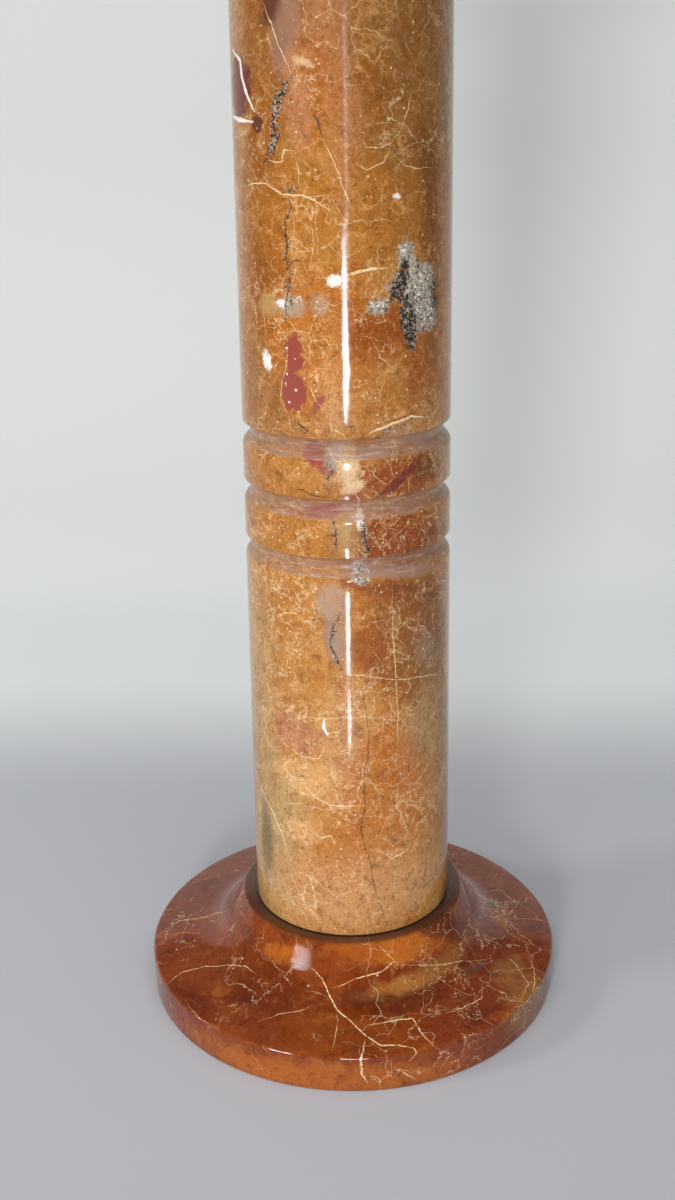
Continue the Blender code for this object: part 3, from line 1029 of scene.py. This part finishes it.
def honey_marble():
    """The shaft: honey and orange marble, veined, with red patches, crystals and old cracks."""
    stone = Stone("honey_marble")
    solid, axes = stone.solid, stone.axes
    depth = stone.math("ABSOLUTE", axes["Y"])
    way = stone.math("SIGN", stone.times(axes["Y"], -1.0))
    angle = stone.math("ARCTAN2", stone.times(axes["X"], way), depth)
    arc = stone.times(angle, FOOT_RADIUS)
    behind = stone.between(axes["Y"], -BACK_BLEND, BACK_BLEND)
    flip = stone.math("MULTIPLY_ADD", axes["Z"], -2.0, TURNED_OVER)
    height = stone.math("MULTIPLY_ADD", behind, flip, axes["Z"])
    inside = stone.between(depth, *SIDE_FADE)
    ragged = stone.swing(stone.noise(solid, 170.0, 5.0, 0.65), 2.8)
    torn = stone.swing(stone.noise(solid, 80.0, 6.0, 0.75), 5.0)
    flat = coordinates(stone, arc, height, ((130.0, 0.0024), (520.0, 0.0011)), ragged)
    cloudy = coordinates(stone, arc, height, ((60.0, 0.010), (260.0, 0.004)), torn)

    # Ground: clouds of honey and ochre, browner higher up, with stains, a painted glow beside the streak
    # and a fine grain
    clouds = stone.noise(solid, 16.0, 6.0, 0.62, 0.6)
    ground = stone.mix(stone.between(clouds, 0.36, 0.64), linear("honey"), linear("ochre"))
    ground = stone.tint(ground, "brown", axes["Z"], *BROWNING, 0.45)
    drifts = stone.noise(solid, 38.0, 8.0, 0.70, 0.9)
    ground = stone.tint(ground, "peach", drifts, 0.52, 0.72, 0.60)
    ground = stone.tint(ground, "orange", drifts, 0.46, 0.30, 0.65)
    ground = stone.mix(inside, ground, stain_and_light_layers(stone, ground, cloudy, SHAFT_STAINS_AND_PAINTED_LIGHT, on_shaft))
    mottle = stone.noise(solid, 150.0, 6.0, 0.78, 0.8)
    ground = stone.tint(ground, "peach", mottle, 0.52, 0.68, 0.35)
    ground = stone.tint(ground, "umber", mottle, 0.50, 0.32, 0.62)
    grit = stone.noise(solid, 600.0, 4.0, 0.70)
    ground = stone.tint(ground, "cream", grit, 0.56, 0.70, 0.35)
    ground = stone.tint(ground, "umber", grit, 0.44, 0.30, 0.60)

    # Dark smudges and flecks, pale wisps, a web of pale lines and lace
    smudges = hairlines(stone, scale=45.0, width=0.012, bare=0.50)
    ground = stone.coat(ground, "umber", smudges, 0.60)
    flecks = hairlines(stone, scale=130.0, width=0.022, bare=0.46)
    ground = stone.coat(ground, "umber", flecks, 0.55)
    wisps = hairlines(stone, scale=48.0, width=0.026, bare=0.46)
    ground = stone.coat(ground, "peach", wisps, 0.40)
    net = crazing(stone, (45.0, 0.016), scale=42.0, width=0.016, bare=0.46)
    small_net = crazing(stone, (90.0, 0.010), scale=80.0, width=0.024, bare=0.58)
    threads = hairlines(stone, scale=34.0, width=0.010, bare=0.46)
    web = strongest_of(stone, net, small_net, threads)
    breaks = stone.between(stone.noise(solid, 420.0, 3.0), 0.34, 0.50, 0.30, 1.0)
    ground = stone.coat(ground, "cream", stone.times(web, breaks), 0.60)
    lacy = hairlines(stone, scale=70.0, width=0.030, bare=0.34)
    lace = stone.times(ovals(stone, cloudy, LACE, on_shaft), inside)
    ground = stone.coat(ground, "cream", stone.times(lace, lacy), 0.55)

    # Placed patches, pale blots with a painted highlight on the first ring, and small specks
    patched = stain_and_light_layers(stone, ground, flat, SHAFT_PATCHES, on_shaft)
    crumbs = stone.swing(stone.noise(solid, 420.0, 4.0, 0.70), 5.0)
    patched = stain_and_light_layers(stone, patched, (flat[0], flat[1], crumbs), PALE_BLOTS_AND_HIGHLIGHTS, on_shaft)
    ground = stone.mix(inside, ground, patched)
    dots = specks(stone, scale=240.0, size=0.22, share=0.16)
    ground = stone.coat(ground, "cream", dots, 0.75)

    # Crystals, darkest in the ovals that shade them
    grains = stone.cells(stone.shaken(solid, 900.0, 0.0012), 900.0, "F1").outputs["Color"]
    grain = stone.add("ShaderNodeSeparateColor", plug={0: grains}).outputs[0]
    lumpy = stone.math("MULTIPLY_ADD", ragged, 1.3, stone.times(crumbs, 0.4))
    lumps = (flat[0], flat[1], lumpy)
    crystals = stone.times(ovals(stone, lumps, CRYSTALS, on_shaft), inside)
    shades = ovals(stone, lumps, CRYSTAL_SHADES, on_shaft)
    lean = stone.math("MULTIPLY_ADD", shades, -0.75, grain)
    lean = stone.math("MULTIPLY_ADD", crumbs, 0.55, lean)
    crystal_colour = stone.mix(stone.between(lean, -0.3, 0.55), linear("black"), linear("grey"))
    crystal_colour = stone.coat(crystal_colour, "white", stone.between(lean, 0.70, 1.20))
    ground = stone.mix(crystals, ground, crystal_colour)

    # Dark granular veins, then brown lines and cracks, then cream and white veins
    gritty = stone.math("MULTIPLY_ADD", grit, 5.0, veins(stone, flat, DARK_GRAIN, on_shaft))
    gritty = stone.times(stone.between(gritty, 2.85, 3.25), inside)
    grit_colour = stone.mix(stone.between(grain, 0.45, 0.8), linear("black"), linear("grey"))
    ground = stone.mix(gritty, ground, grit_colour)
    brown = stone.between(veins(stone, flat, BROWN_LINES, on_shaft), 0.0, 0.9, 0.0, 0.7)
    ground = stone.coat(ground, "umber", brown, inside)
    cracks = stone.between(veins(stone, flat, DARK_CRACKS, on_shaft), 0.0, 0.5)
    crack_mask = stone.times(stone.times(cracks, breaks), inside)
    ground = stone.coat(ground, "black", crack_mask, 0.85)
    cream = stone.between(veins(stone, flat, CREAM_VEINS, on_shaft), 0.05, 0.75)
    ground = stone.coat(ground, "cream", stone.times(cream, breaks), inside)
    white = stone.between(veins(stone, flat, WHITE_VEINS, on_shaft), 0.0, 0.6)
    ground = stone.coat(ground, "white", white, inside)

    # Grooves, greyer and duller stone with a painted pale reflection and painted highlight streaks, and
    # painted shade along the foot's joint
    taper = (HEAD_RADIUS - FOOT_RADIUS) / (SHAFT_HEAD - SHAFT_FOOT)
    plain = stone.math("MULTIPLY_ADD", axes["Z"], taper, FOOT_RADIUS - taper * SHAFT_FOOT)
    sunk = stone.between(stone.math("SUBTRACT", plain, radius_from(stone)), *GROOVE_SINKING)
    plug = {"X": arc, "Y": stone.times(axes["Z"], STREAK_SQUEEZE)}
    band = stone.add("ShaderNodeCombineXYZ", plug=plug).outputs[0]
    streaks = stone.between(stone.noise(band, 55.0, 5.0, 0.7), 0.40, 0.66, 0.25, 0.80)
    # Partly greyer stone, partly a painted pale reflection
    ground = stone.coat(ground, "mauve", sunk, streaks)
    # Painted highlight streaks in the grooves
    pale = stone.between(stone.noise(band, 75.0, 5.0, 0.7), 0.50, 0.70, 0.0, 0.30)
    ground = stone.coat(ground, "white", sunk, pale)
    # Painted shade: a black line at the very foot, where the joint's gap lies in shadow
    ground = stone.coat(ground, "black", stone.between(axes["Z"], *FOOT_JOINT_SHADE))

    gloss = stone.between(mottle, 0.2, 0.8, 0.06, 0.10)
    gloss = stone.math("MULTIPLY_ADD", sunk, 0.22, gloss)
    gloss = stone.math("MULTIPLY_ADD", stone.math("MAXIMUM", crystals, crack_mask), 0.15, gloss)
    return stone.polished(ground, gloss, mottle)


def russet_marble(placed):
    """The base and slab: red-brown marble with cream veins, the base's own in their places."""
    stone = Stone("russet_marble" if placed else "russet_marble_plain")
    solid, axes = stone.solid, stone.axes
    radius = radius_from(stone)
    rough_noise = stone.noise(solid, 70.0, 6.0, 0.75)

    # Ground: clouds of russet and brick, with the base's stains, its painted shade, light and reflection,
    # and a fine grain
    clouds = stone.noise(solid, 14.0, 6.0, 0.62, 0.8)
    ground = stone.mix(stone.between(clouds, 0.36, 0.64), linear("russet"), linear("brick"))
    drifts = stone.noise(solid, 40.0, 8.0, 0.70, 0.9)
    ground = stone.tint(ground, "deep", drifts, 0.47, 0.30, 0.8)
    ground = stone.tint(ground, "amber", drifts, 0.54, 0.72, 0.6)
    if placed:
        angle = stone.math("ARCTAN2", axes["X"], stone.times(axes["Y"], -1.0))
        arc = stone.times(angle, BASE_RADIUS)
        inward = stone.math("SUBTRACT", BASE_RADIUS, radius)
        path = stone.math("ADD", axes["Z"], inward)
        ragged = stone.swing(rough_noise, 3.2)
        torn = stone.swing(rough_noise, 5.0)
        flat = coordinates(stone, arc, path, ((110.0, 0.0034), (480.0, 0.0013)), ragged)
        cloudy = coordinates(stone, arc, path, ((50.0, 0.014), (220.0, 0.005)), torn)
        ground = stain_and_light_layers(stone, ground, cloudy, BASE_STAINS_AND_PAINTED_LIGHT, on_base)
    mottle = stone.noise(solid, 150.0, 8.0, 0.78, 0.5)
    ground = stone.tint(ground, "sand", mottle, 0.52, 0.72, 0.35)
    ground = stone.tint(ground, "deep", mottle, 0.49, 0.32, 0.75)
    grit = stone.noise(solid, 650.0, 4.0, 0.70)
    ground = stone.tint(ground, "deep", grit, 0.44, 0.30, 0.5)

    # A web of cream lines, the base's placed veins and small specks
    net = crazing(stone, (35.0, 0.022), scale=26.0, width=0.009, bare=0.50)
    small_net = crazing(stone, (80.0, 0.012), scale=70.0, width=0.018, bare=0.54)
    threads = hairlines(stone, scale=24.0, width=0.007, bare=0.48)
    web = strongest_of(stone, net, small_net, threads)
    breaks = stone.between(stone.noise(solid, 380.0, 3.0), 0.34, 0.52, 0.2, 1.0)
    ground = stone.coat(ground, "cream", stone.times(web, breaks), 0.6)
    if placed:
        cream = stone.between(veins(stone, flat, BASE_VEINS, on_base), 0.05, 0.75)
        ground = stone.coat(ground, "cream", cream, breaks)
    dots = specks(stone, scale=110.0, size=0.11, share=0.12)
    ground = stone.coat(ground, "cream", dots, 0.8)

    # Dirt and painted contact shade on the seat, and painted shade darkest along the joint
    if placed:
        near = stone.between(radius, *SEAT_DIRT_AND_SHADE)
        seat = stone.times(near, stone.between(axes["Z"], *SEAT_SHADE_AND_DIRT_HEIGHT))
        ground = stone.coat(ground, "dirt_and_shade", seat, 0.75)
        # Painted shade: black along the joint's gap
        ground = stone.coat(ground, "black", stone.between(radius, *JOINT_GAP_SHADE), 0.9)

    gloss = stone.between(mottle, 0.2, 0.8, 0.05, 0.08)
    return stone.polished(ground, gloss, mottle)


def dress(piece, node, material):
    """Give a piece its stone, and let it stand for its solid."""
    piece.data.materials.clear()
    piece.data.materials.append(material)
    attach(piece, "root")
    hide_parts(node)


def build_column():
    """Turn and dress the three stones."""
    shaft = turn("turned_shaft", filled_in(shaft_profile(), PLAIN_STEP))
    base = turn("moulded_base", filled_in(base_profile(), PLAIN_STEP))
    slab = turn("round_slab", filled_in(slab_profile(), PLAIN_STEP))
    dress(shaft, "shaft", honey_marble())
    dress(base, "base", russet_marble(True))
    dress(slab, "top_slab", russet_marble(False))
    return shaft, base


# Camera, floor and light


def place_camera():
    """The photograph's camera."""
    select_none()
    bpy.ops.object.camera_add(location=EYE)
    camera = bpy.context.object
    right, up, forward = camera_axes()
    turn_matrix = Matrix((right, up, -forward)).transposed().to_4x4()
    camera.matrix_world = Matrix.Translation(EYE) @ turn_matrix
    camera.data.sensor_width = SENSOR_MM
    camera.data.lens = SENSOR_MM * FOCAL_PIXELS / PHOTO_HEIGHT
    camera.data.clip_start = NEAREST
    bpy.context.scene.camera = camera


# Backdrop: its edges, the radius of its bend and the height of its wall above that, in metres
FLOOR_HALF_WIDTH = 4.0
FLOOR_NEAR = -4.0
FLOOR_FAR = 0.75
BEND_RADIUS = 0.55
BEND_STEPS = 16
WALL_HEIGHT = 0.35
EDGE_REACH = 0.01
PAPER_ROUGHNESS = 0.9

# Its tones, partly painted light, darker near and brightest at the bend: the nearest, then each later one
# with where along the sheet it starts and is reached
NEAR_TONE = (0.430, 0.425, 0.465, 1.0)
LATER_TONES = {
    "floor": ((0.490, 0.505, 0.535, 1.0), -0.45, 0.05),
    "bend": ((0.780, 0.800, 0.800, 1.0), 0.26, 0.56),
    "wall": ((0.683, 0.700, 0.680, 1.0), 0.75, 1.15),
}


def lay_floor():
    """A plain pale floor that sweeps up into a plain backdrop."""
    select_none()
    bpy.ops.mesh.primitive_plane_add(size=1.0, location=(0.0, 0.0, 0.0))
    floor = bpy.context.object
    floor.name = "floor"
    bpy.ops.object.mode_set(mode="EDIT")
    bpy.ops.mesh.select_all(action="SELECT")
    bpy.ops.transform.resize(value=(2 * FLOOR_HALF_WIDTH, FLOOR_FAR - FLOOR_NEAR, 1.0))
    bpy.ops.transform.translate(value=(0.0, (FLOOR_FAR + FLOOR_NEAR) / 2, 0.0))
    bpy.ops.mesh.select_mode(type="EDGE")
    bpy.ops.mesh.select_all(action="DESELECT")
    bpy.ops.object.mode_set(mode="OBJECT")
    corners = floor.data.vertices
    for edge in floor.data.edges:
        edge.select = all(corners[index].co.y > FLOOR_FAR - EDGE_REACH for index in edge.vertices)
    bpy.ops.object.mode_set(mode="EDIT")
    for step in range(BEND_STEPS):
        start = math.pi / 2 * step / BEND_STEPS
        end = math.pi / 2 * (step + 1) / BEND_STEPS
        rise = BEND_RADIUS * (math.cos(start) - math.cos(end))
        run = BEND_RADIUS * (math.sin(end) - math.sin(start))
        bpy.ops.mesh.extrude_region_move(TRANSFORM_OT_translate={"value": (0.0, run, rise)})
    bpy.ops.mesh.extrude_region_move(TRANSFORM_OT_translate={"value": (0.0, 0.0, WALL_HEIGHT)})
    bpy.ops.mesh.select_all(action="SELECT")
    bpy.ops.mesh.normals_make_consistent(inside=True)
    bpy.ops.object.mode_set(mode="OBJECT")
    bpy.ops.object.transform_apply(location=True, rotation=True, scale=True)
    bpy.ops.object.shade_smooth()
    floor.data.materials.append(pale_paper())


def pale_paper():
    """The backdrop's paper, clear from behind so that the back of the column can be seen."""
    paper = Stone("pale_floor")
    along = paper.math("ADD", paper.axes["Y"], paper.axes["Z"])
    tone = NEAR_TONE
    for later, start, end in LATER_TONES.values():
        tone = paper.mix(paper.between(along, start, end), tone, later)
    paper.tree.links.new(tone, paper.shader.inputs["Base Color"])
    paper.shader.inputs["Roughness"].default_value = PAPER_ROUGHNESS
    behind = paper.add("ShaderNodeNewGeometry").outputs["Backfacing"]
    clear = paper.add("ShaderNodeBsdfTransparent").outputs[0]
    sheet = paper.add("ShaderNodeMixShader", plug={0: behind, 1: paper.shader.outputs[0], 2: clear})
    paper.tree.links.new(sheet.outputs[0], paper.tree.nodes["Material Output"].inputs["Surface"])
    return paper.material


def soft_light(name, place, target, size, power, polish_of=None):
    """One soft rectangular light: no polish shows it or, given a piece, only that piece's does."""
    select_none()
    bpy.ops.object.light_add(type="AREA", location=place)
    lamp = bpy.context.object
    lamp.name = name
    lamp.data.shape = "RECTANGLE"
    lamp.data.size, lamp.data.size_y = size
    lamp.data.energy = power
    away = Vector(place) - Vector(target)
    lamp.rotation_euler = away.to_track_quat("Z", "Y").to_euler()
    lamp.visible_camera = False
    lamp.visible_glossy = polish_of is not None
    lamp.visible_diffuse = polish_of is None
    if polish_of is not None:
        lamp.data.color = GLINT_TINT
        chosen = bpy.data.collections.new(name)
        chosen.objects.link(polish_of)
        lamp.light_linking.receiver_collection = chosen


def mirrored(pixel, node, distance):
    """A place whose reflection a pixel of the photograph shows, and the point that shows it."""
    place, normal = touch_face(pixel, node)
    outward = Vector((place.x, place.y, 0.0)).normalized()
    normal = outward * math.hypot(normal.x, normal.y) + Vector((0.0, 0.0, normal.z))
    view = (place - EYE).normalized()
    bounce = view - normal * (2 * view.dot(normal))
    return place + bounce * distance, place


# The room's own light
ROOM_TONE = (0.95, 0.97, 1.0, 1.0)
ROOM_STRENGTH = 0.16

# Soft lights: where each is and what it is turned to, in metres, its size across and up, its power
COLUMN_MIDDLE = (0.0, 0.0, 0.3)
SOFT_LIGHTS = {
    "overhead": ((0.0, -0.8, 3.0), COLUMN_MIDDLE, (3.0, 3.0), 66.0),
    "front": ((-0.50, -2.4, 0.58), COLUMN_MIDDLE, (0.35, 0.35), 38.0),
    "left": ((-2.6, -0.75, 1.5), COLUMN_MIDDLE, (0.5, 0.5), 22.0),
}

# The same for lights that only the base's polish shows
GLINT_TINT = (0.80, 0.92, 1.0)
RIM_GLINTS = {
    "rim glint": ((0.0, -1.50, 0.12), (0.0, -0.15, 0.03), (0.30, 0.18), 13.0),
    "rim glint, left": ((-0.84, -1.20, 0.12), (-0.06, -0.14, 0.03), (0.26, 0.18), 11.0),
}

# Lights that one pixel shows in the polish: the pixel, its solid, how far off the light is, size, power
GLINTS = {
    "streak, top": ((346, 150), "shaft", 1.2, (0.020, 0.40), 0.35),
    "streak": ((345, 332), "shaft", 0.9, (0.013, 0.22), 1.35),
    "streak's heart": ((346, 362), "shaft", 0.9, (0.050, 0.06), 1.0),
    "ring streak": ((347, 505), "shaft", 0.6, (0.008, 0.14), 0.28),
    "lower streak": ((348, 625), "shaft", 0.35, (0.006, 0.08), 0.18),
    "slope glint": ((302, 958), "base", 1.6, (0.45, 0.015), 0.9),
}


def light_scene(shaft, base, places):
    """Soft light from above, the front and the left, and the lights that the polish shows."""
    world = bpy.data.worlds.new("soft_room")
    bpy.context.scene.world = world
    world.use_nodes = True
    world.node_tree.nodes["Background"].inputs["Color"].default_value = ROOM_TONE
    world.node_tree.nodes["Background"].inputs["Strength"].default_value = ROOM_STRENGTH
    for name, row in SOFT_LIGHTS.items():
        soft_light(name, *row)
    for name, row in RIM_GLINTS.items():
        soft_light(name, *row, base)
    pieces = {"shaft": shaft, "base": base}
    for name, (_pixel, node, _distance, size, power) in GLINTS.items():
        soft_light(name, *places[name], size, power, pieces[node])
    bpy.context.scene.view_settings.view_transform = "Standard"


place_camera()
lay_floor()
glint_places = {name: mirrored(*row[:3]) for name, row in GLINTS.items()}
turned_shaft, moulded_base = build_column()
light_scene(turned_shaft, moulded_base, glint_places)
